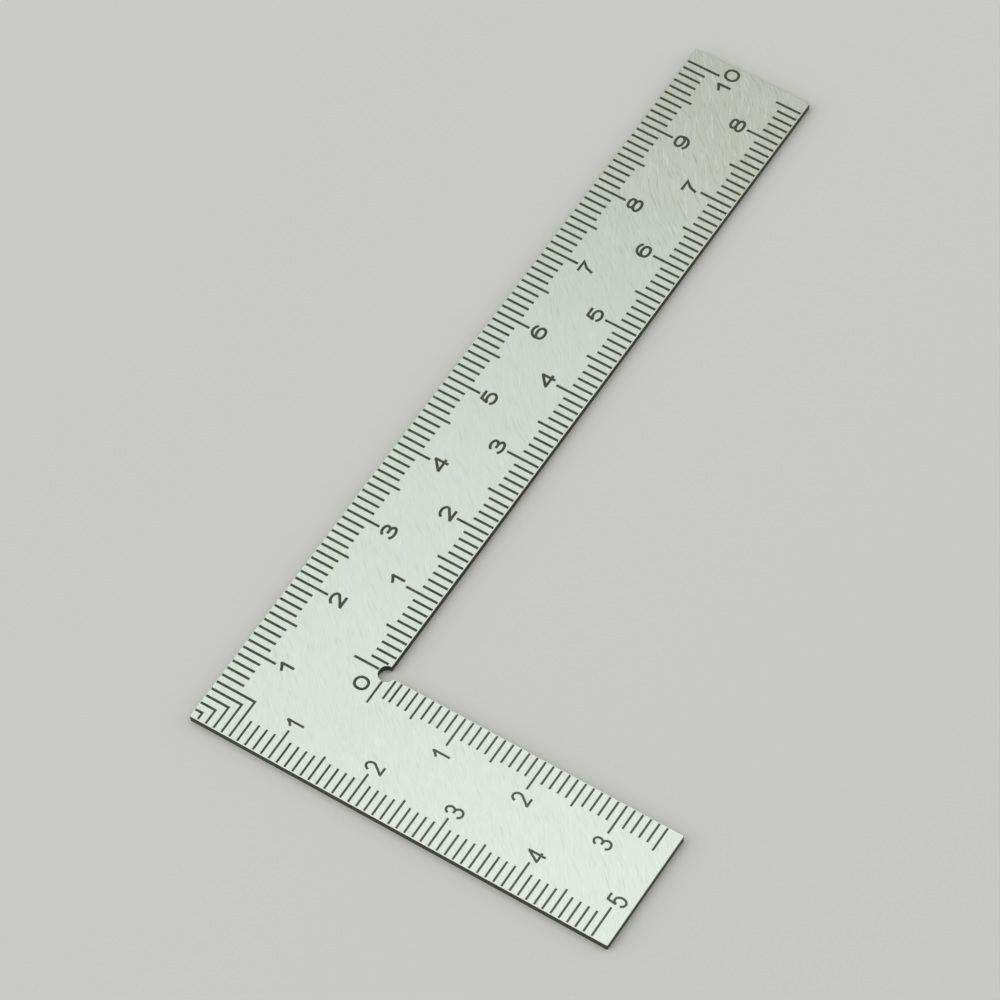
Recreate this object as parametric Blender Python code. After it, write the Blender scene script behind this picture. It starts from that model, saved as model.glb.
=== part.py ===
"""Steel square ruler: one L-shaped plate with two 15 mm arms, etched millimetre scales along all four
long edges, and black enamel filling the etched marks. Real size, in metres, at rest.

The shared frame: the origin is the bottom centre of the bounding box, +X runs along the long arm away
from the heel (the outer corner), -Y is the way the short arm points, and +Z is the graduated face.
Everything below is drawn in millimetres from the heel, then moved and scaled into that frame by part().
"""

import math

import bmesh
import bpy
from mathutils import Vector
from mathutils.geometry import delaunay_2d_cdt

MM = 0.001

# --- The plate ---
LONG_ARM = 102.0
SHORT_ARM = 52.0
ARM_WIDTH = 15.0
THICKNESS = 1.0
EDGE_BREAK = 0.05  # the deburred edge round both faces
CORNER_RADIUS = 0.15
RELIEF_RADIUS = 0.95  # the hole drilled at the inner corner, open to the notch between the arms
RELIEF_CENTRE = (15.14, -14.99)  # from the heel: a little outside the inner corner
CORNER_STEPS = 3
RELIEF_STEPS = 20

# --- The etched marks and their fill ---
ETCH_DEPTH = 0.1
MARK_GAP = 0.12  # between an arm's edge and the start of its lines
LONG_FIRST_GAP = 0.46  # the long inner scale's first line starts further in, clear of the relief hole
SHORT_FIRST_SHIFT = 0.21  # the short inner scale's first line sits this much low, clear of the hole
FILL_CLEARANCE = 0.01  # the gap left all round a fill, so that it and the plate stay separate bodies
FILL_SUNK = 0.02  # how far the fill lies under the plate's face

# A scale's lines by kind: (millimetre, half centimetre, centimetre) lengths, with the line's width.
LONG_LINE_WIDTH = 0.31
SHORT_LINE_WIDTH = 0.26
LONG_OUTER_LENGTHS = (2.95, 3.65, 4.3)
LONG_INNER_LENGTHS = (2.63, 3.37, 4.15)
SHORT_OUTER_LENGTHS = (2.9, 3.4, 4.0)
SHORT_INNER_LENGTHS = (2.65, 3.2, 3.9)
LONG_OUTER_LAST = 100
SHORT_OUTER_LAST = 50
LONG_INNER_LAST = 85
SHORT_INNER_LAST = 35
CHEVRONS = 5  # the outer scales' first lines meet at the heel's diagonal
LONG_INNER_ZERO = 15.2  # where the inner scales start, from the heel
SHORT_INNER_ZERO = 15.1
LONG_ZERO_START = 1.03  # where each zero line meets the relief hole, from the arm's edge
SHORT_ZERO_START = 0.88

# --- The numerals: outside height and width, pen width, and how far right of its place a 1 sits ---
LONG_NUMERAL = (1.82, 1.76, 0.33, 0.1)
SHORT_NUMERAL = (2.27, 1.28, 0.28, -0.08)
LONG_OUTER_ROW = -5.5
LONG_INNER_ROW = -9.6
SHORT_OUTER_COLUMN = 4.95
SHORT_INNER_COLUMN = 9.85
SHORT_ROW_DROP = 0.14  # the short arm's numerals sit this far below their lines
ONE_SHARE = 0.66  # a 1 is narrower than the other numerals
TEN_SPLIT = (-1.43, 0.77)  # the 1 and the 0 of the 10, either side of their line
ZERO_CENTRE = (12.81, -13.33)  # the one 0 that both inner scales share

OVAL_POWER = 0.9  # 1 would make the round numerals true ellipses, and less makes them squarer

STEEL_COLOUR = (0.66, 0.7, 0.62)
ENAMEL_COLOUR = (0.03, 0.03, 0.022)


def arc(centre_x, centre_y, radius_x, radius_y, start, end, steps):
    """Points along an elliptical arc from start to end, in degrees."""
    points = []
    for step in range(steps + 1):
        angle = math.radians(start + (end - start) * step / steps)
        points.append((centre_x + radius_x * math.cos(angle), centre_y + radius_y * math.sin(angle)))
    return points


def loop(centre_x, centre_y, radius_x, radius_y, steps):
    """A closed oval, a little squarer than an ellipse. The last point repeats the first."""
    points = []
    for step in range(steps + 1):
        angle = 2 * math.pi * step / steps
        across = math.cos(angle)
        along = math.sin(angle)
        points.append(
            (
                centre_x + radius_x * math.copysign(abs(across) ** OVAL_POWER, across),
                centre_y + radius_y * math.copysign(abs(along) ** OVAL_POWER, along),
            )
        )
    return points


LEAST_MITRE = 0.5  # a corner's mitre reaches at most twice the pen's half width

# Each numeral's pen paths, in a box one unit wide about x = 0 and one unit high about y = 0.
NUMERAL_PATHS = {
    "0": [loop(0, 0, 0.5, 0.5, 18)],
    "1": [[(-0.42, 0.22), (-0.05, 0.31), (0.4, 0.48)], [(0.46, 0.44), (0.46, -0.44)]],
    "2": [
        arc(0, 0.2, 0.47, 0.3, 158, -25, 8) + [(0.05, -0.18), (-0.36, -0.44)],
        [(-0.42, -0.5), (0.42, -0.5)],
    ],
    "3": [
        arc(-0.02, 0.25, 0.42, 0.25, 155, -75, 7),
        arc(0, -0.24, 0.5, 0.26, 100, -155, 9),
        [(-0.08, 0.02), (0.06, 0.01)],
    ],
    "4": [[(0.26, 0.46), (-0.5, -0.19)], [(-0.5, -0.23), (0.5, -0.23)], [(0.31, 0.46), (0.31, -0.46)]],
    "5": [
        [(0.36, 0.5), (-0.3, 0.5), (-0.42, 0.03)],
        arc(0.02, -0.17, 0.48, 0.33, 145, -150, 10),
    ],
    "6": [loop(0.02, -0.19, 0.48, 0.31, 14), arc(0.06, 0.0, 0.56, 0.5, 195, 45, 8)],
    "7": [[(-0.44, 0.5), (0.42, 0.5), (0.0, 0.04), (-0.16, -0.44)]],
    "8": [loop(0, 0.27, 0.42, 0.23, 12), loop(0, -0.23, 0.5, 0.27, 14)],
    "9": [loop(-0.02, 0.19, 0.48, 0.31, 14), arc(-0.06, 0.0, 0.56, 0.5, 15, -135, 8)],
}


def pen_quads(path, width):
    """The quads that a pen of this width covers along a path, mitred where two of them meet."""
    points = path
    closed = (points[0] - points[-1]).length < 1e-6
    sides = []
    for index, point in enumerate(points):
        before = points[index - 1] if index else (points[-2] if closed else None)
        after = points[index + 1] if index + 1 < len(points) else (points[1] if closed else None)
        into = (point - before).normalized() if before is not None else None
        out = (after - point).normalized() if after is not None else None
        if into is None or out is None:
            run = out if into is None else into
            normal = Vector((-run.y, run.x))
        else:
            normal = Vector((-into.y, into.x)) + Vector((-out.y, out.x))
            normal = normal.normalized()
            normal = normal / max(normal.dot(Vector((-into.y, into.x))), LEAST_MITRE)
        sides.append((point + normal * width / 2, point - normal * width / 2))
    quads = []
    for (left, right), (next_left, next_right) in zip(sides, sides[1:]):
        quads.append([right, next_right, next_left, left])
    return quads


def numeral(digit, centre, size, pen):
    """One numeral's quads, drawn with this pen. The size is one of the tuples that start with LONG_NUMERAL."""
    height, width, cut, one_shift = size
    middle_x, middle_y = centre
    if digit == "1":
        width *= ONE_SHARE
        middle_x += one_shift
    quads = []
    for path in NUMERAL_PATHS[digit]:
        placed = [Vector((middle_x + x * (width - cut), middle_y + y * (height - cut))) for x, y in path]
        if (placed[0] - placed[-1]).length > 1e-6:
            # An open stroke ends square, half the pen's width past its last point.
            first = placed[0] + (placed[0] - placed[1]).normalized() * pen / 2
            last = placed[-1] + (placed[-1] - placed[-2]).normalized() * pen / 2
            placed[0] = first
            placed[-1] = last
        quads += pen_quads(placed, pen)
    return quads


def box(x_low, y_low, x_high, y_high, shrink):
    """A rectangle's one quad, smaller by shrink on every side."""
    low = Vector((x_low + shrink, y_low + shrink))
    high = Vector((x_high - shrink, y_high - shrink))
    return [[low, Vector((high.x, low.y)), high, Vector((low.x, high.y))]]


def kind(number):
    """0 for a millimetre line, 1 for a half centimetre, 2 for a centimetre."""
    if number % 10 == 0:
        return 2
    return 1 if number % 5 == 0 else 0


def long_outer_line(number, shrink=0.0):
    half = LONG_LINE_WIDTH / 2
    return box(number - half, -LONG_OUTER_LENGTHS[kind(number)], number + half, -MARK_GAP, shrink)


def long_inner_line(number, shrink=0.0):
    half = LONG_LINE_WIDTH / 2
    middle = LONG_INNER_ZERO + number
    gap = LONG_FIRST_GAP if number == 1 else MARK_GAP
    top = LONG_INNER_LENGTHS[kind(number)] - ARM_WIDTH
    return box(middle - half, gap - ARM_WIDTH, middle + half, top, shrink)


def short_outer_line(number, shrink=0.0):
    half = SHORT_LINE_WIDTH / 2
    return box(MARK_GAP, -number - half, SHORT_OUTER_LENGTHS[kind(number)], -number + half, shrink)


def short_inner_line(number, shrink=0.0):
    half = SHORT_LINE_WIDTH / 2
    middle = -SHORT_INNER_ZERO - number - (SHORT_FIRST_SHIFT if number == 1 else 0.0)
    start = ARM_WIDTH - SHORT_INNER_LENGTHS[kind(number)]
    return box(start, middle - half, ARM_WIDTH - MARK_GAP, middle + half, shrink)


def long_zero_line(shrink=0.0):
    half = LONG_LINE_WIDTH / 2
    low = LONG_ZERO_START - ARM_WIDTH
    high = LONG_INNER_LENGTHS[2] - ARM_WIDTH
    return box(LONG_INNER_ZERO - half, low, LONG_INNER_ZERO + half, high, shrink)


def short_zero_line(shrink=0.0):
    half = SHORT_LINE_WIDTH / 2
    low = ARM_WIDTH - SHORT_INNER_LENGTHS[2]
    high = ARM_WIDTH - SHORT_ZERO_START
    return box(low, -SHORT_INNER_ZERO - half, high, -SHORT_INNER_ZERO + half, shrink)


def chevron(number):
    """A line from each outer edge, both 'number' millimetres from the heel, meeting in a corner."""
    half_x = LONG_LINE_WIDTH / 2
    half_y = SHORT_LINE_WIDTH / 2
    upright = box(number - half_x, -number - half_y, number + half_x, -MARK_GAP, 0)
    level = box(MARK_GAP, -number - half_y, number + half_x, -number + half_y, 0)
    return upright + level


def filled_marks():
    """{name: a function of the pen's shrink that gives the mark's quads}, for every mark with its own fill."""
    marks = {}

    def add_numeral(name, digit, centre, size):
        marks[name] = lambda shrink=0.0: numeral(digit, centre, size, size[2] - 2 * shrink)

    for number in range(1, 10):
        add_numeral(f"numeral_long_outer_{number}", str(number), (10 * number, LONG_OUTER_ROW), LONG_NUMERAL)
    for digit, offset in zip("10", TEN_SPLIT):
        centre = (LONG_OUTER_LAST + offset, LONG_OUTER_ROW)
        add_numeral(f"numeral_long_outer_10_digit_{digit}", digit, centre, LONG_NUMERAL)
    for number in range(1, 9):
        centre = (LONG_INNER_ZERO + 10 * number, LONG_INNER_ROW)
        add_numeral(f"numeral_long_inner_{number}", str(number), centre, LONG_NUMERAL)
    for number in range(1, 6):
        centre = (SHORT_OUTER_COLUMN, -10 * number - SHORT_ROW_DROP)
        add_numeral(f"numeral_short_outer_{number}", str(number), centre, SHORT_NUMERAL)
    for number in range(1, 4):
        centre = (SHORT_INNER_COLUMN, -SHORT_INNER_ZERO - 10 * number - SHORT_ROW_DROP)
        add_numeral(f"numeral_short_inner_{number}", str(number), centre, SHORT_NUMERAL)
    add_numeral("numeral_shared_zero", "0", ZERO_CENTRE, LONG_NUMERAL)

    scales = (
        ("long_outer", long_outer_line, LONG_OUTER_LAST),
        ("long_inner", long_inner_line, LONG_INNER_LAST),
        ("short_outer", short_outer_line, SHORT_OUTER_LAST),
        ("short_inner", short_inner_line, SHORT_INNER_LAST),
    )
    for scale, line, last in scales:
        for number in range(10, last + 1, 10):
            marks[f"line_{scale}_{number}mm"] = lambda shrink=0.0, line=line, number=number: line(number, shrink)
    marks["line_long_inner_zero"] = long_zero_line
    marks["line_short_inner_zero"] = short_zero_line
    return marks


def unfilled_marks():
    """The quads of each remaining mark: millimetre and half centimetre lines, and the heel's chevrons."""
    marks = []
    scales = (
        (long_outer_line, CHEVRONS + 1, LONG_OUTER_LAST),
        (long_inner_line, 1, LONG_INNER_LAST),
        (short_outer_line, CHEVRONS + 1, SHORT_OUTER_LAST),
        (short_inner_line, 1, SHORT_INNER_LAST),
    )
    for line, first, last in scales:
        for number in range(first, last + 1):
            if kind(number) != 2:
                marks.append(line(number))
    for number in range(1, CHEVRONS + 1):
        marks.append(chevron(number))
    return marks


def outline(inset):
    """The plate's outline, anticlockwise from the heel, moved into the steel by inset."""
    radius = CORNER_RADIUS - inset
    middle = CORNER_RADIUS
    corners = (
        (middle, -middle, 90),
        (middle, middle - SHORT_ARM, 180),
        (ARM_WIDTH - middle, middle - SHORT_ARM, 270),
        None,
        (LONG_ARM - middle, middle - ARM_WIDTH, 270),
        (LONG_ARM - middle, -middle, 0),
    )
    points = []
    for corner in corners:
        if corner:
            x, y, start = corner
            points += arc(x, y, radius, radius, start, start + 90, CORNER_STEPS)
            continue
        x, y = RELIEF_CENTRE
        reach = RELIEF_RADIUS + inset
        start = -90 - math.degrees(math.asin((x - ARM_WIDTH + inset) / reach))
        end = math.degrees(math.asin((inset - ARM_WIDTH - y) / reach)) - 360
        points += arc(x, y, reach, reach, start, end, RELIEF_STEPS)
    return points


def area(corners):
    """Twice the signed area of a polygon: positive when it runs anticlockwise."""
    total = 0.0
    for first, second in zip(corners, corners[1:] + corners[:1]):
        total += first[0] * second[1] - second[0] * first[1]
    return total


def triangles_inside(polygons):
    """(points, [(triangle, the polygons it lies in)]) of a set of polygons that may overlap."""
    points = []
    faces = []
    for polygon in polygons:
        if area(polygon) < 0:
            polygon = polygon[::-1]
        faces.append(list(range(len(points), len(points) + len(polygon))))
        points += [Vector(point) for point in polygon]
    points, _, triangles, _, _, owners = delaunay_2d_cdt(points, [], faces, 1, 1e-5, True)
    return points, list(zip(triangles, owners))


def rim_edges(triangles):
    """The directed edges that only one of these triangles uses."""
    edges = set()
    for triangle in triangles:
        for first, second in zip(triangle, triangle[1:] + triangle[:1]):
            if (second, first) in edges:
                edges.remove((second, first))
            else:
                edges.add((first, second))
    return edges


def finish(name, colour, roughness, metallic):
    """One plain material."""
    material = bpy.data.materials.new(name)
    material.use_nodes = True
    shader = material.node_tree.nodes["Principled BSDF"]
    shader.inputs["Base Color"].default_value = (*colour, 1.0)
    shader.inputs["Roughness"].default_value = roughness
    shader.inputs["Metallic"].default_value = metallic
    return material


def part(name, points, faces, origin, material):
    """One named object. Its points and origin are in millimetres from the heel; the origin becomes its
    location in the shared frame."""
    placed = [((x - origin[0]) * MM, (y - origin[1]) * MM, (z - origin[2]) * MM) for x, y, z in points]
    mesh = bpy.data.meshes.new(name)
    mesh.from_pydata(placed, [], faces)
    mesh.materials.append(material)
    cleaned = bmesh.new()
    cleaned.from_mesh(mesh)
    loose = [vertex for vertex in cleaned.verts if not vertex.link_faces]
    bmesh.ops.delete(cleaned, geom=loose, context="VERTS")
    cleaned.to_mesh(mesh)
    cleaned.free()
    made = bpy.data.objects.new(name, mesh)
    made.location = ((origin[0] - LONG_ARM / 2) * MM, (origin[1] + SHORT_ARM / 2) * MM, origin[2] * MM)
    bpy.context.scene.collection.objects.link(made)
    return made


def square_plate(marks, steel_finish):
    """The steel plate, with a square-walled pocket for every mark."""
    rings = (
        (EDGE_BREAK, THICKNESS),
        (0.0, THICKNESS - EDGE_BREAK),
        (0.0, EDGE_BREAK),
        (EDGE_BREAK, 0.0),
    )
    top_rim = outline(EDGE_BREAK)
    polygons = [top_rim] + [quad for mark in marks for quad in mark]
    flat, owned = triangles_inside(polygons)
    steel = [list(triangle) for triangle, owners in owned if list(owners) == [0]]
    floors = [list(triangle) for triangle, owners in owned if len(owners) > 1]

    points = [(point.x, point.y, THICKNESS) for point in flat]
    points += [(point.x, point.y, THICKNESS - ETCH_DEPTH) for point in flat]
    faces = list(steel)
    faces += [[index + len(flat) for index in triangle] for triangle in floors]
    for first, second in rim_edges(floors):
        faces.append([first, second, second + len(flat), first + len(flat)])

    top = []
    for corner in top_rim:
        top.append(min(range(len(flat)), key=lambda index: (flat[index] - Vector(corner)).length))
    upper = top
    for inset, height in rings[1:]:
        lower = list(range(len(points), len(points) + len(top)))
        points += [(x, y, height) for x, y in outline(inset)]
        for index in range(len(top)):
            after = (index + 1) % len(top)
            faces.append([upper[index], lower[index], lower[after], upper[after]])
        upper = lower
    under, covered = triangles_inside([outline(EDGE_BREAK)])
    order = []
    for point in under:
        order.append(min(upper, key=lambda index: (Vector(points[index][:2]) - point).length))
    for triangle, owners in covered:
        if owners:
            faces.append([order[index] for index in reversed(triangle)])
    return part("square_plate", points, faces, (LONG_ARM / 2, -SHORT_ARM / 2, 0.0), steel_finish)


def enamel_fill(name, quads, enamel_finish):
    """The black enamel that lies in one mark."""
    flat, owned = triangles_inside(quads)
    cover = [list(triangle) for triangle, owners in owned if owners]
    points = [(point.x, point.y, THICKNESS - FILL_SUNK) for point in flat]
    points += [(point.x, point.y, THICKNESS - ETCH_DEPTH + FILL_CLEARANCE) for point in flat]
    faces = list(cover)
    faces += [[index + len(flat) for index in reversed(triangle)] for triangle in cover]
    for first, second in rim_edges(cover):
        faces.append([second, first, first + len(flat), second + len(flat)])
    middle_x = (min(x for x, _, _ in points) + max(x for x, _, _ in points)) / 2
    middle_y = (min(y for _, y, _ in points) + max(y for _, y, _ in points)) / 2
    return part(name, points, faces, (middle_x, middle_y, THICKNESS), enamel_finish)


def main():
    for old in list(bpy.data.objects):
        bpy.data.objects.remove(old)
    steel_finish = finish("steel", STEEL_COLOUR, roughness=0.35, metallic=1.0)
    enamel_finish = finish("scale_fill", ENAMEL_COLOUR, roughness=0.6, metallic=0.0)
    filled = filled_marks()
    plate = square_plate([quads() for quads in filled.values()] + unfilled_marks(), steel_finish)
    for name, quads in filled.items():
        fill = enamel_fill("fill_" + name, quads(FILL_CLEARANCE), enamel_finish)
        fill.parent = plate


main()
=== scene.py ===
"""Looks of the steel square ruler: a brushed stainless plate with rounded edges, and black enamel in every
etched line and numeral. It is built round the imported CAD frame, in the same metres."""

import math

import bmesh
import bpy
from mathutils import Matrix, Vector
from mathutils.geometry import delaunay_2d_cdt


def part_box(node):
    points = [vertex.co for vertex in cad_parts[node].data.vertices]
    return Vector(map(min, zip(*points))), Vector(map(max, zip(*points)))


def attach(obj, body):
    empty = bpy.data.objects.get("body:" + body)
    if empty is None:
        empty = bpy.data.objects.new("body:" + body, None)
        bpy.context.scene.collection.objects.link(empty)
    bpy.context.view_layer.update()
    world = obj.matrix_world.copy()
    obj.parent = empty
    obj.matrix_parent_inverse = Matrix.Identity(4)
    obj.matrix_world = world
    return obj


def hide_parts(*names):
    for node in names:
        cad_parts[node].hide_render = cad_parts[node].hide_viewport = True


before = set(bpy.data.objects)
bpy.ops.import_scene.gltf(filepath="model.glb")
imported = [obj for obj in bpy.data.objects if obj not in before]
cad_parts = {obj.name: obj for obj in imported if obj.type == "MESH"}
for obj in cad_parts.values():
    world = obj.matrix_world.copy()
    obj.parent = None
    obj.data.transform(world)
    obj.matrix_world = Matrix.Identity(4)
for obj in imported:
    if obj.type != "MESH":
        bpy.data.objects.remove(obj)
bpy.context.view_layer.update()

MM = 0.001
LOW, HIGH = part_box("square_plate")
HEEL_X = LOW.x / MM  # the heel is the outer corner, where both outer scales start
HEEL_Y = HIGH.y / MM
THICKNESS = (HIGH.z - LOW.z) / MM
LONG_ARM = (HIGH.x - LOW.x) / MM
SHORT_ARM = (HIGH.y - LOW.y) / MM
ARM_WIDTH = 15.0

# --- The plate's finer shapes, in millimetres ---
EDGE_RADIUS = 0.05  # the deburred edges, rounded here
EDGE_STEPS = 4
CORNER_RADIUS = 0.15
CORNER_STEPS = 8
RELIEF_RADIUS = 0.95
RELIEF_STEPS = 60
RELIEF_CENTRE = (15.14, -14.99)  # from the heel: a little outside the inner corner
ETCH_DEPTH = 0.1
FILL_SUNK = 0.02  # the enamel's face lies this much under the steel's
FILL_CLEARANCE = 0.004  # and its sides and underside stay this far from the pocket's

# --- The scales ---
MILLIMETRE, HALF_CENTIMETRE, CENTIMETRE = range(3)  # the three kinds of line
LONG_LINE_WIDTH = 0.31
SHORT_LINE_WIDTH = 0.26
LONG_OUTER_LENGTHS = (2.95, 3.65, 4.3)  # of the three kinds of line, in that order
LONG_INNER_LENGTHS = (2.63, 3.37, 4.15)
SHORT_OUTER_LENGTHS = (2.9, 3.4, 4.0)
SHORT_INNER_LENGTHS = (2.65, 3.2, 3.9)
LONG_OUTER_LAST = 100
SHORT_OUTER_LAST = 50
LONG_INNER_LAST = 85
SHORT_INNER_LAST = 35
CHEVRONS = 5
LONG_INNER_ZERO = 15.2
SHORT_INNER_ZERO = 15.1
MARK_GAP = 0.12  # most lines start this far inside the arm's edge
LONG_FIRST_GAP = 0.46  # but the long inner scale's first line starts here, clear of the relief hole
SHORT_FIRST_SHIFT = 0.21  # the short inner scale's first line sits this much low
LONG_ZERO_START = 1.03  # each zero line starts at the relief hole, this far from the arm's edge
SHORT_ZERO_START = 0.88

# --- The numerals: outside height and width, pen width, and how far right of its place a 1 sits ---
LONG_NUMERAL = (1.82, 1.76, 0.33, 0.1)
SHORT_NUMERAL = (2.27, 1.28, 0.28, -0.08)
# The numerals' middles, from the heel: rows on the long arm, columns on the short one.
LONG_OUTER_ROW = -5.5
LONG_INNER_ROW = -9.6
SHORT_OUTER_COLUMN = 4.95
SHORT_INNER_COLUMN = 9.85
SHORT_ROW_DROP = 0.14  # the short arm's numerals sit this far past their centimetre lines
ONE_SHARE = 0.66  # a 1's width, as a share of the other numerals'
TEN_SPLIT = (-1.43, 0.77)  # the middles of the 10's two glyphs, from its centimetre line
ZERO_CENTRE = (12.81, -13.33)
OVAL_POWER = 0.9  # 1 would make the round numerals true ellipses, and less makes them squarer
OVAL_STEPS = 44
LEAST_MITRE = 0.5  # a corner's mitre reaches at most twice the pen's half width
SAME_POINT = 1e-6  # a path is closed when its ends are nearer than this
MERGE_WITHIN = 1e-5  # where marks cross, points nearer than this become one
INSIDE_ONLY = 1  # the triangulation keeps only what lies inside a polygon

# --- The camera, at the photograph's angle, in metres, degrees and millimetres ---
CAMERA_LOCATION = (-0.26064, -0.17034, 0.4954)
CAMERA_ROTATION = (31.94, 2.24, -57.33)
CAMERA_LENS = 194.86

# --- Brushing and wear, in millimetres ---
SCRATCH_ANGLE = 40.0  # the brushing runs this many degrees from the long arm
BROAD_TURN = -7.0  # and its two families of strokes run this many degrees from that
CROSSING_TURN = 10.0
BEND = 1.6  # how far the strokes wander
BEND_SCALE = 0.16  # and how quickly, in noise cells per millimetre
WEAR_AND_WARM_REFLECTION_FROM = 56.0  # from here, measured from the heel, the steel grows more scratched, and its colour turns to a painted reflection of warm surroundings
FRESH_STROKES = 0.36  # how strongly the strokes show before that, where 1 is the worn end
DARK_SHARE = 0.9
THIN_BELOW = 28.0  # the enamel is thinnest, and the steel least green, from here down the short arm
THIN_SHARE = 0.75

# --- Colours ---
FRESH_GREEN = (0.788, 0.87, 0.78, 1.0)  # the steel near the heel is these two by turns
FRESH_BLUE = (0.802, 0.872, 0.822, 1.0)
FRESH_PALE = (0.81, 0.862, 0.81, 1.0)  # on the short arm it is this
FAR_END_REFLECTION_CREAM = (0.783, 0.793, 0.67, 1.0)  # and at the long arm's end it is these two by turns, a painted reflection of warm surroundings
FAR_END_REFLECTION_GREY = (0.79, 0.812, 0.728, 1.0)
LIGHT_STROKE = (0.9, 0.95, 0.935, 1.0)
DARK_STROKE = (0.58, 0.61, 0.55, 1.0)
# The plate's sides take these two dark colours: painted shade, standing in for the shadow and the dark
# surroundings that the sides reflect.
SIDE_PAINTED_SHADE_DEEP = (0.07, 0.064, 0.052, 1.0)
SIDE_PAINTED_SHADE_SOFT = (0.15, 0.138, 0.115, 1.0)
ENAMEL_DARK = (0.072, 0.081, 0.052, 1.0)
ENAMEL_LIGHT = (0.125, 0.136, 0.09, 1.0)
ENAMEL_THIN = (0.16, 0.175, 0.13, 1.0)
FLOOR_COLOUR = (0.88, 0.87, 0.85, 1.0)

# --- The studio, in metres and watts ---
FLOOR_SIZE = 6.0
LIGHTS = {  # where each light is, its side and its power
    "overhead": ((0.12, 0.04, 0.80), 0.8, 1.87),
    "left": ((-0.62, 0.85, 0.75), 1.4, 5.6),
    "right": ((0.85, -0.95, 0.55), 1.4, 2.4),
}
LIGHT_COLOUR = (1.0, 1.0, 0.98)
FILL_COLOUR = (0.95, 1.0, 0.96, 1.0)
FILL_STRENGTH = 0.28
CLIP_START = 0.01


# ---------------------------------------------------------------- outlines


def arc(centre_x, centre_y, radius_x, radius_y, start, end, steps):
    """Points along an elliptical arc from start to end, in degrees."""
    points = []
    for step in range(steps + 1):
        angle = math.radians(start + (end - start) * step / steps)
        points.append((centre_x + radius_x * math.cos(angle), centre_y + radius_y * math.sin(angle)))
    return points


def loop(centre_x, centre_y, radius_x, radius_y):
    """A closed oval, a little squarer than an ellipse. The last point repeats the first."""
    points = []
    for step in range(OVAL_STEPS + 1):
        angle = 2 * math.pi * step / OVAL_STEPS
        across = math.cos(angle)
        along = math.sin(angle)
        points.append(
            (
                centre_x + radius_x * math.copysign(abs(across) ** OVAL_POWER, across),
                centre_y + radius_y * math.copysign(abs(along) ** OVAL_POWER, along),
            )
        )
    return points


# Each numeral's pen paths, in a box one unit wide about x = 0 and one unit high about y = 0.
NUMERAL_PATHS = {
    "0": [loop(0, 0, 0.5, 0.5)],
    "1": [[(-0.42, 0.22), (-0.05, 0.31), (0.4, 0.48)], [(0.46, 0.44), (0.46, -0.44)]],
    "2": [
        arc(0, 0.2, 0.47, 0.3, 158, -25, 24) + [(0.05, -0.18), (-0.36, -0.44)],
        [(-0.42, -0.5), (0.42, -0.5)],
    ],
    "3": [
        arc(-0.02, 0.25, 0.42, 0.25, 155, -75, 22),
        arc(0, -0.24, 0.5, 0.26, 100, -155, 26),
        [(-0.08, 0.02), (0.06, 0.01)],
    ],
    "4": [[(0.26, 0.46), (-0.5, -0.19)], [(-0.5, -0.23), (0.5, -0.23)], [(0.31, 0.46), (0.31, -0.46)]],
    "5": [
        [(0.36, 0.5), (-0.3, 0.5), (-0.42, 0.03)],
        arc(0.02, -0.17, 0.48, 0.33, 145, -150, 30),
    ],
    "6": [loop(0.02, -0.19, 0.48, 0.31), arc(0.06, 0.0, 0.56, 0.5, 195, 45, 24)],
    "7": [[(-0.44, 0.5), (0.42, 0.5), (0.0, 0.04), (-0.16, -0.44)]],
    "8": [loop(0, 0.27, 0.42, 0.23), loop(0, -0.23, 0.5, 0.27)],
    "9": [loop(-0.02, 0.19, 0.48, 0.31), arc(-0.06, 0.0, 0.56, 0.5, 15, -135, 24)],
}


def pen_quads(path, width):
    """The quads that a pen of this width covers along a path, mitred where two of them meet."""
    closed = (path[0] - path[-1]).length < SAME_POINT
    sides = []
    for index, point in enumerate(path):
        before = path[index - 1] if index else (path[-2] if closed else None)
        after = path[index + 1] if index + 1 < len(path) else (path[1] if closed else None)
        into = (point - before).normalized() if before is not None else None
        out = (after - point).normalized() if after is not None else None
        if into is None or out is None:
            run = out if into is None else into
            normal = Vector((-run.y, run.x))
        else:
            normal = Vector((-into.y, into.x)) + Vector((-out.y, out.x))
            normal = normal.normalized()
            normal = normal / max(normal.dot(Vector((-into.y, into.x))), LEAST_MITRE)
        sides.append((point + normal * width / 2, point - normal * width / 2))
    quads = []
    for (left, right), (next_left, next_right) in zip(sides, sides[1:]):
        quads.append([right, next_right, next_left, left])
    return quads


def numeral(digit, centre, size, shrink=0.0):
    """One numeral's quads, smaller by shrink all round. The size is as listed with the numerals above."""
    height, width, cut, one_shift = size
    middle_x, middle_y = centre
    pen = cut - 2 * shrink
    if digit == "1":
        width *= ONE_SHARE
        middle_x += one_shift
    quads = []
    for path in NUMERAL_PATHS[digit]:
        placed = [Vector((middle_x + x * (width - cut), middle_y + y * (height - cut))) for x, y in path]
        if (placed[0] - placed[-1]).length > SAME_POINT:
            # An open stroke ends square, half the pen's width past its last point.
            first = placed[0] + (placed[0] - placed[1]).normalized() * pen / 2
            last = placed[-1] + (placed[-1] - placed[-2]).normalized() * pen / 2
            placed[0] = first
            placed[-1] = last
        quads += pen_quads(placed, pen)
    return quads


def box(x_low, y_low, x_high, y_high, shrink):
    """A rectangle's one quad, smaller by shrink on every side."""
    low = Vector((x_low + shrink, y_low + shrink))
    high = Vector((x_high - shrink, y_high - shrink))
    return [[low, Vector((high.x, low.y)), high, Vector((low.x, high.y))]]


def kind(number):
    """Which kind of line marks this many millimetres."""
    if number % 10 == 0:
        return CENTIMETRE
    return HALF_CENTIMETRE if number % 5 == 0 else MILLIMETRE


def long_outer_line(number, shrink=0.0):
    half = LONG_LINE_WIDTH / 2
    return box(number - half, -LONG_OUTER_LENGTHS[kind(number)], number + half, -MARK_GAP, shrink)


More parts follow.
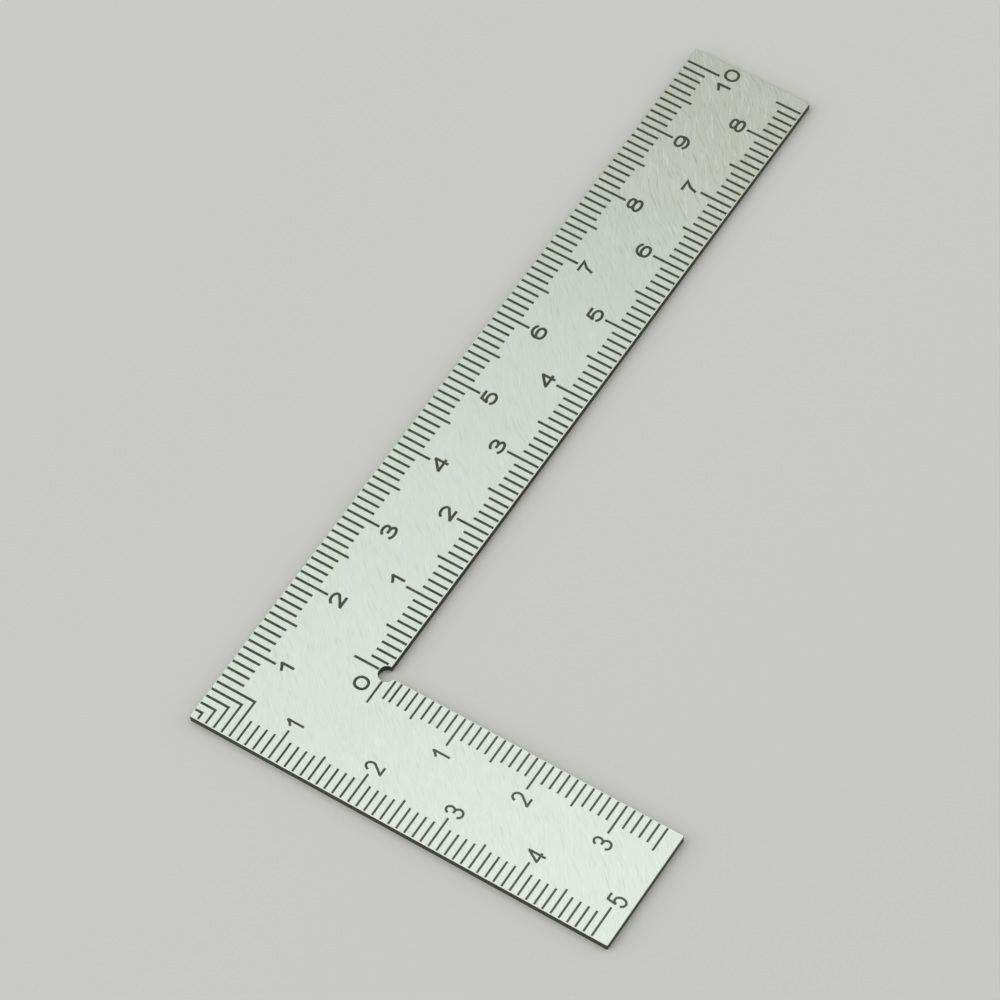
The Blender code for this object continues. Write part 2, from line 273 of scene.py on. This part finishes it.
def long_inner_line(number, shrink=0.0):
    half = LONG_LINE_WIDTH / 2
    middle = LONG_INNER_ZERO + number
    gap = LONG_FIRST_GAP if number == 1 else MARK_GAP
    top = LONG_INNER_LENGTHS[kind(number)] - ARM_WIDTH
    return box(middle - half, gap - ARM_WIDTH, middle + half, top, shrink)


def short_outer_line(number, shrink=0.0):
    half = SHORT_LINE_WIDTH / 2
    return box(MARK_GAP, -number - half, SHORT_OUTER_LENGTHS[kind(number)], -number + half, shrink)


def short_inner_line(number, shrink=0.0):
    half = SHORT_LINE_WIDTH / 2
    middle = -SHORT_INNER_ZERO - number - (SHORT_FIRST_SHIFT if number == 1 else 0.0)
    start = ARM_WIDTH - SHORT_INNER_LENGTHS[kind(number)]
    return box(start, middle - half, ARM_WIDTH - MARK_GAP, middle + half, shrink)


def long_zero_line():
    half = LONG_LINE_WIDTH / 2
    low = LONG_ZERO_START - ARM_WIDTH
    high = LONG_INNER_LENGTHS[CENTIMETRE] - ARM_WIDTH
    return box(LONG_INNER_ZERO - half, low, LONG_INNER_ZERO + half, high, 0.0)


def short_zero_line():
    half = SHORT_LINE_WIDTH / 2
    low = ARM_WIDTH - SHORT_INNER_LENGTHS[CENTIMETRE]
    high = ARM_WIDTH - SHORT_ZERO_START
    return box(low, -SHORT_INNER_ZERO - half, high, -SHORT_INNER_ZERO + half, 0.0)


def chevron(number, shrink=0.0):
    """A line from each outer edge, both 'number' millimetres from the heel, meeting in a corner."""
    half_x = LONG_LINE_WIDTH / 2
    half_y = SHORT_LINE_WIDTH / 2
    upright = box(number - half_x, -number - half_y, number + half_x, -MARK_GAP, shrink)
    level = box(MARK_GAP, -number - half_y, number + half_x, -number + half_y, shrink)
    return upright + level


SCALES = {
    "long_outer": (long_outer_line, CHEVRONS + 1, LONG_OUTER_LAST),
    "long_inner": (long_inner_line, 1, LONG_INNER_LAST),
    "short_outer": (short_outer_line, CHEVRONS + 1, SHORT_OUTER_LAST),
    "short_inner": (short_inner_line, 1, SHORT_INNER_LAST),
}


def numeral_places():
    """{name: (digit, centre, size)} of every numeral."""
    places = {}
    for number in range(1, LONG_OUTER_LAST // 10):
        places[f"long_outer_{number}"] = (str(number), (10 * number, LONG_OUTER_ROW), LONG_NUMERAL)
    for digit, offset in zip("10", TEN_SPLIT):
        centre = (LONG_OUTER_LAST + offset, LONG_OUTER_ROW)
        places[f"long_outer_10_digit_{digit}"] = (digit, centre, LONG_NUMERAL)
    for number in range(1, LONG_INNER_LAST // 10 + 1):
        centre = (LONG_INNER_ZERO + 10 * number, LONG_INNER_ROW)
        places[f"long_inner_{number}"] = (str(number), centre, LONG_NUMERAL)
    for number in range(1, SHORT_OUTER_LAST // 10 + 1):
        centre = (SHORT_OUTER_COLUMN, -10 * number - SHORT_ROW_DROP)
        places[f"short_outer_{number}"] = (str(number), centre, SHORT_NUMERAL)
    for number in range(1, SHORT_INNER_LAST // 10 + 1):
        centre = (SHORT_INNER_COLUMN, -SHORT_INNER_ZERO - 10 * number - SHORT_ROW_DROP)
        places[f"short_inner_{number}"] = (str(number), centre, SHORT_NUMERAL)
    places["shared_zero"] = ("0", ZERO_CENTRE, LONG_NUMERAL)
    return places


def outline(inset):
    """The plate's outline, anticlockwise from the heel, moved into the steel by inset."""
    radius = CORNER_RADIUS - inset
    middle = CORNER_RADIUS
    corners = (
        (middle, -middle, 90),
        (middle, middle - SHORT_ARM, 180),
        (ARM_WIDTH - middle, middle - SHORT_ARM, 270),
        None,
        (LONG_ARM - middle, middle - ARM_WIDTH, 270),
        (LONG_ARM - middle, -middle, 0),
    )
    points = []
    for corner in corners:
        if corner:
            x, y, start = corner
            points += arc(x, y, radius, radius, start, start + 90, CORNER_STEPS)
            continue
        x, y = RELIEF_CENTRE
        reach = RELIEF_RADIUS + inset
        start = -90 - math.degrees(math.asin((x - ARM_WIDTH + inset) / reach))
        end = math.degrees(math.asin((inset - ARM_WIDTH - y) / reach)) - 360
        points += arc(x, y, reach, reach, start, end, RELIEF_STEPS)
    return points


# ---------------------------------------------------------------- meshes


def twice_area(corners):
    """Twice the signed area of a polygon: positive when it runs anticlockwise."""
    total = 0.0
    for first, second in zip(corners, corners[1:] + corners[:1]):
        total += first[0] * second[1] - second[0] * first[1]
    return total


def triangles_inside(polygons):
    """(points, [(triangle, the polygons it lies in)]) of a set of polygons that may overlap."""
    points = []
    faces = []
    for polygon in polygons:
        if twice_area(polygon) < 0:
            polygon = polygon[::-1]
        faces.append(list(range(len(points), len(points) + len(polygon))))
        points += [Vector(point) for point in polygon]
    points, _, triangles, _, _, owners = delaunay_2d_cdt(
        points, [], faces, INSIDE_ONLY, MERGE_WITHIN, True
    )
    return points, list(zip(triangles, owners))


def rim_edges(triangles):
    """The directed edges that only one of these triangles uses."""
    edges = set()
    for triangle in triangles:
        for first, second in zip(triangle, triangle[1:] + triangle[:1]):
            if (second, first) in edges:
                edges.remove((second, first))
            else:
                edges.add((first, second))
    return edges


def piece(name, points, faces, material):
    """One visual piece, from points in millimetres measured from the heel. It rides on the one body."""
    placed = [((x + HEEL_X) * MM, (y + HEEL_Y) * MM, LOW.z + z * MM) for x, y, z in points]
    mesh = bpy.data.meshes.new(name)
    mesh.from_pydata(placed, [], faces)
    mesh.materials.append(material)
    cleaned = bmesh.new()
    cleaned.from_mesh(mesh)
    loose = [vertex for vertex in cleaned.verts if not vertex.link_faces]
    bmesh.ops.delete(cleaned, geom=loose, context="VERTS")
    cleaned.to_mesh(mesh)
    cleaned.free()
    made = bpy.data.objects.new(name, mesh)
    bpy.context.scene.collection.objects.link(made)
    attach(made, "root")
    return made


def edge_rings():
    """(inset, height) of each ring down the plate's side, with both edges rounded."""
    rings = []
    for step in range(EDGE_STEPS + 1):
        angle = math.radians(90 * step / EDGE_STEPS)
        inset = EDGE_RADIUS * (1 - math.sin(angle))
        rings.append((inset, THICKNESS - EDGE_RADIUS * (1 - math.cos(angle))))
    return rings + [(inset, THICKNESS - height) for inset, height in reversed(rings)]


def plate(marks, material, side_shade_material):
    """The steel plate: a pocket for every mark, rounded edges, a plain underside, and upright sides in a
    second material painted dark, as painted shade.
    """
    rings = edge_rings()
    top_rim = outline(EDGE_RADIUS)
    polygons = [top_rim] + [quad for mark in marks for quad in mark]
    flat, owned = triangles_inside(polygons)
    steel = [list(triangle) for triangle, owners in owned if list(owners) == [0]]
    floors = [list(triangle) for triangle, owners in owned if len(owners) > 1]

    points = [(point.x, point.y, THICKNESS) for point in flat]
    points += [(point.x, point.y, THICKNESS - ETCH_DEPTH) for point in flat]
    faces = list(steel)
    faces += [[index + len(flat) for index in triangle] for triangle in floors]
    for first, second in rim_edges(floors):
        faces.append([first, second, second + len(flat), first + len(flat)])
    flat_faces = len(faces)

    upper = []
    for corner in top_rim:
        upper.append(min(range(len(flat)), key=lambda index: (flat[index] - Vector(corner)).length))
    for inset, height in rings[1:]:
        lower = list(range(len(points), len(points) + len(upper)))
        points += [(x, y, height) for x, y in outline(inset)]
        for index in range(len(upper)):
            after = (index + 1) % len(upper)
            faces.append([upper[index], lower[index], lower[after], upper[after]])
        upper = lower
    round_faces = len(faces)

    under, covered = triangles_inside([outline(EDGE_RADIUS)])
    order = []
    for point in under:
        order.append(min(upper, key=lambda index: (Vector(points[index][:2]) - point).length))
    for triangle, owners in covered:
        if owners:
            faces.append([order[index] for index in reversed(triangle)])

    made = piece("brushed_plate", points, faces, material)
    made.data.materials.append(side_shade_material)
    shaded_side_first = flat_faces + EDGE_STEPS * len(upper)
    for index, polygon in enumerate(made.data.polygons):
        polygon.use_smooth = flat_faces <= index < round_faces
        # The upright sides take the second material, whose dark colour is painted shade.
        if shaded_side_first <= index < shaded_side_first + len(upper):
            polygon.material_index = 1
    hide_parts("square_plate")
    return made


def fill(name, marks, material):
    """The enamel in one or more marks, its face a little under the steel's."""
    points = []
    faces = []
    for mark in marks:
        flat, owned = triangles_inside(mark)
        cover = [list(triangle) for triangle, owners in owned if owners]
        base = len(points)
        points += [(point.x, point.y, THICKNESS - FILL_SUNK) for point in flat]
        points += [(point.x, point.y, THICKNESS - ETCH_DEPTH + FILL_CLEARANCE) for point in flat]
        under = base + len(flat)
        faces += [[index + base for index in triangle] for triangle in cover]
        faces += [[index + under for index in reversed(triangle)] for triangle in cover]
        for first, second in rim_edges(cover):
            faces.append([second + base, first + base, first + under, second + under])
    return piece(name, points, faces, material)


# ---------------------------------------------------------------- materials


class Nodes:
    """A short way to add and link shader nodes in one material."""

    def __init__(self, name):
        self.material = bpy.data.materials.new(name)
        self.material.use_nodes = True
        self.tree = self.material.node_tree
        self.shader = self.tree.nodes["Principled BSDF"]

    def add(self, node_type, inputs=None, **settings):
        node = self.tree.nodes.new("ShaderNode" + node_type)
        for key, value in settings.items():
            setattr(node, key, value)
        for key, value in (inputs or {}).items():
            self.put(node.inputs[key], value)
        return node

    def put(self, socket, value):
        if isinstance(value, bpy.types.NodeSocket):
            self.tree.links.new(value, socket)
        else:
            socket.default_value = value

    def place(self, scale, turn=0.0, bend=0.0):
        """The object's own coordinates, bent by a soft noise, turned about Z, and scaled along the three
        axes from millimetres to noise cells."""
        where = self.add("TexCoord").outputs["Object"]
        if bend:
            inputs = {"Vector": where, "Scale": BEND_SCALE / MM, "Detail": 1.0}
            drift = self.add("TexNoise", inputs).outputs["Color"]
            centred = self.vector_maths("SUBTRACT", {0: drift, 1: (0.5, 0.5, 0.5)})
            shift = self.vector_maths("SCALE", {0: centred, "Scale": bend * MM})
            where = self.vector_maths("ADD", {0: where, 1: shift})
        turned = self.add(
            "VectorRotate", {"Vector": where, "Angle": math.radians(-turn)}, rotation_type="Z_AXIS"
        ).outputs["Vector"]
        size = tuple(value / MM for value in scale)
        return self.vector_maths("MULTIPLY", {0: turned, 1: size})

    def along(self, axis):
        """How far along an axis a point lies, in millimetres."""
        return self.add("SeparateXYZ", {"Vector": self.place((1.0, 1.0, 1.0))}).outputs[axis]

    def noise(self, place, detail=3.0, roughness=0.6):
        inputs = {"Vector": place, "Scale": 1.0, "Detail": detail, "Roughness": roughness}
        return self.add("TexNoise", inputs).outputs["Fac"]

    def between(self, value, low, high, to_low=0.0, to_high=1.0):
        """Value mapped from low..high to to_low..to_high, smoothly, and held there outside."""
        inputs = {
            "Value": value,
            "From Min": low,
            "From Max": high,
            "To Min": to_low,
            "To Max": to_high,
        }
        return self.add("MapRange", inputs, interpolation_type="SMOOTHSTEP").outputs["Result"]

    def vector_maths(self, operation, inputs):
        return self.add("VectorMath", inputs, operation=operation).outputs["Vector"]

    def maths(self, operation, first, second):
        return self.add("Math", {0: first, 1: second}, operation=operation).outputs["Value"]

    def mix(self, share, first, second):
        node = self.add("Mix", {0: share}, data_type="RGBA")
        self.put(node.inputs[6], first)
        self.put(node.inputs[7], second)
        return node.outputs[2]


def brushed_steel():
    """Stainless steel brushed by hand, aslant: two families of short, slightly bent strokes over fine
    scratches. It is green and blue by turns near the heel, paler on the short arm, and more worn at the
    long arm's end, where its creamier colour is a painted reflection of warm surroundings."""
    nodes = Nodes("brushed_steel")
    fine = nodes.noise(nodes.place((0.55, 13.0, 1.0), SCRATCH_ANGLE), detail=4.0)
    broad = nodes.noise(nodes.place((0.3, 4.2, 1.0), SCRATCH_ANGLE + BROAD_TURN, BEND), detail=4.0)
    crossing = nodes.noise(nodes.place((0.4, 6.0, 1.0), SCRATCH_ANGLE + CROSSING_TURN, BEND), detail=4.0)
    cloud = nodes.noise(nodes.place((0.06, 0.3, 1.0), SCRATCH_ANGLE, BEND), roughness=0.55)
    wear_and_warm_reflection = nodes.between(nodes.along("X"), HEEL_X + WEAR_AND_WARM_REFLECTION_FROM, HEEL_X + LONG_ARM)
    below = nodes.between(nodes.along("Y"), HEEL_Y, HEEL_Y - THIN_BELOW)

    tint = nodes.between(cloud, 0.36, 0.64)
    fresh = nodes.mix(tint, FRESH_GREEN, FRESH_BLUE)
    far_end_reflection = nodes.mix(tint, FAR_END_REFLECTION_CREAM, FAR_END_REFLECTION_GREY)
    fresh = nodes.mix(below, fresh, FRESH_PALE)
    # Towards the long arm's end the colour turns to a painted reflection of warm surroundings, and the
    # strokes grow stronger with wear.
    colour = nodes.mix(wear_and_warm_reflection, fresh, far_end_reflection)
    strength = nodes.between(wear_and_warm_reflection, 0.0, 1.0, to_low=FRESH_STROKES)
    light = nodes.maths("MULTIPLY", nodes.between(broad, 0.5, 0.7), strength)
    colour = nodes.mix(light, colour, LIGHT_STROKE)
    dark = nodes.maths("MULTIPLY", nodes.between(crossing, 0.48, 0.3), strength)
    colour = nodes.mix(nodes.maths("MULTIPLY", dark, DARK_SHARE), colour, DARK_STROKE)
    nodes.put(nodes.shader.inputs["Base Color"], colour)
    nodes.shader.inputs["Metallic"].default_value = 1.0

    rough = nodes.between(fine, 0.3, 0.7, to_low=0.33, to_high=0.42)
    nodes.put(nodes.shader.inputs["Roughness"], rough)

    height = nodes.maths("ADD", fine, nodes.maths("MULTIPLY", broad, 0.8))
    height = nodes.maths("ADD", height, nodes.maths("MULTIPLY", crossing, 0.6))
    bump = nodes.add("Bump", {"Strength": 0.4, "Distance": 0.03 * MM, "Height": height})
    nodes.put(nodes.shader.inputs["Normal"], bump.outputs["Normal"])
    return nodes.material


def sheared_side_painted_shade():
    """The plate's sides: sheared and ground across, and coarser than its faces. Their dark colour is
    painted shade, standing in for the shadow and the dark surroundings that they reflect.
    """
    nodes = Nodes("sheared_side_painted_shade")
    across = nodes.noise(nodes.place((9.0, 9.0, 0.7)))
    painted_shade = nodes.mix(nodes.between(across, 0.3, 0.7), SIDE_PAINTED_SHADE_DEEP, SIDE_PAINTED_SHADE_SOFT)
    nodes.put(nodes.shader.inputs["Base Color"], painted_shade)
    nodes.shader.inputs["Metallic"].default_value = 1.0
    rough = nodes.between(across, 0.3, 0.7, to_low=0.42, to_high=0.6)
    nodes.put(nodes.shader.inputs["Roughness"], rough)
    bump = nodes.add("Bump", {"Strength": 0.3, "Distance": 0.02 * MM, "Height": across})
    nodes.put(nodes.shader.inputs["Normal"], bump.outputs["Normal"])
    return nodes.material


def black_enamel():
    """Matte black enamel with a dark olive cast, unevenly rubbed, and rubbed thin on the short arm."""
    nodes = Nodes("black_enamel")
    patch = nodes.noise(nodes.place((1.3, 1.3, 1.0)))
    grain = nodes.noise(nodes.place((18.0, 18.0, 1.0)), detail=2.0, roughness=0.5)
    colour = nodes.mix(nodes.between(patch, 0.35, 0.7), ENAMEL_DARK, ENAMEL_LIGHT)
    below = nodes.along("Y")
    thin = nodes.between(below, HEEL_Y - ARM_WIDTH, HEEL_Y - THIN_BELOW, to_high=THIN_SHARE)
    colour = nodes.mix(thin, colour, ENAMEL_THIN)
    nodes.put(nodes.shader.inputs["Base Color"], colour)
    rough = nodes.between(grain, 0.3, 0.7, to_low=0.5, to_high=0.72)
    nodes.put(nodes.shader.inputs["Roughness"], rough)
    nodes.shader.inputs["Specular IOR Level"].default_value = 0.25
    bump = nodes.add("Bump", {"Strength": 0.25, "Distance": 0.01 * MM, "Height": grain})
    nodes.put(nodes.shader.inputs["Normal"], bump.outputs["Normal"])
    return nodes.material


def floor_paint():
    """The plain pale floor."""
    nodes = Nodes("pale_floor")
    nodes.shader.inputs["Base Color"].default_value = FLOOR_COLOUR
    nodes.shader.inputs["Roughness"].default_value = 0.9
    nodes.shader.inputs["Specular IOR Level"].default_value = 0.1
    return nodes.material


# ---------------------------------------------------------------- the scene


def build_ruler():
    """The plate, one piece for each numeral, and the lines' enamel, scale by scale."""
    steel = brushed_steel()
    enamel = black_enamel()
    marks = [chevron(number) for number in range(1, CHEVRONS + 1)]
    for line, first, last in SCALES.values():
        marks += [line(number) for number in range(first, last + 1)]
    marks += [long_zero_line(), short_zero_line()]
    places = numeral_places()
    marks += [numeral(*place) for place in places.values()]
    plate(marks, steel, sheared_side_painted_shade())

    for name, place in places.items():
        made = fill("numeral_" + name, [numeral(*place, shrink=FILL_CLEARANCE)], enamel)
        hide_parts("fill_numeral_" + name)
    for scale, (line, first, last) in SCALES.items():
        small = [number for number in range(first, last + 1) if kind(number) != CENTIMETRE]
        fill(f"lines_{scale}_millimetres", [line(number, FILL_CLEARANCE) for number in small], enamel)
    heel = [chevron(number, FILL_CLEARANCE) for number in range(1, CHEVRONS + 1)]
    fill("lines_heel_chevrons", heel, enamel)
    for name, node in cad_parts.items():
        if name.startswith("fill_line_"):
            node.material_slots[0].material = enamel


def area_light(name, location, size, power):
    """A soft square light that points at the ruler's middle."""
    data = bpy.data.lights.new(name, "AREA")
    data.shape = "SQUARE"
    data.size = size
    data.energy = power
    data.color = LIGHT_COLOUR
    made = bpy.data.objects.new(name, data)
    made.location = location
    made.rotation_euler = (-Vector(location)).to_track_quat("-Z", "Y").to_euler()
    bpy.context.scene.collection.objects.link(made)


def build_studio():
    """A pale floor, three big soft lights and a dim even fill. The steel mirrors the light overhead."""
    bpy.ops.mesh.primitive_plane_add(size=FLOOR_SIZE, location=(0, 0, LOW.z))
    floor = bpy.context.object
    floor.name = "floor"
    floor.data.materials.append(floor_paint())

    for name, (location, size, power) in LIGHTS.items():
        area_light(name, location, size, power)

    world = bpy.data.worlds.new("studio")
    world.use_nodes = True
    background = world.node_tree.nodes["Background"]
    background.inputs["Color"].default_value = FILL_COLOUR
    background.inputs["Strength"].default_value = FILL_STRENGTH
    bpy.context.scene.world = world
    bpy.context.scene.view_settings.view_transform = "Standard"


def build_camera():
    """The camera at the photograph's angle, with everything in focus."""
    data = bpy.data.cameras.new("camera")
    data.lens = CAMERA_LENS
    data.clip_start = CLIP_START
    made = bpy.data.objects.new("camera", data)
    made.location = CAMERA_LOCATION
    made.rotation_euler = [math.radians(angle) for angle in CAMERA_ROTATION]
    bpy.context.scene.collection.objects.link(made)
    bpy.context.scene.camera = made


build_camera()
build_ruler()
build_studio()
bpy.context.view_layer.update()
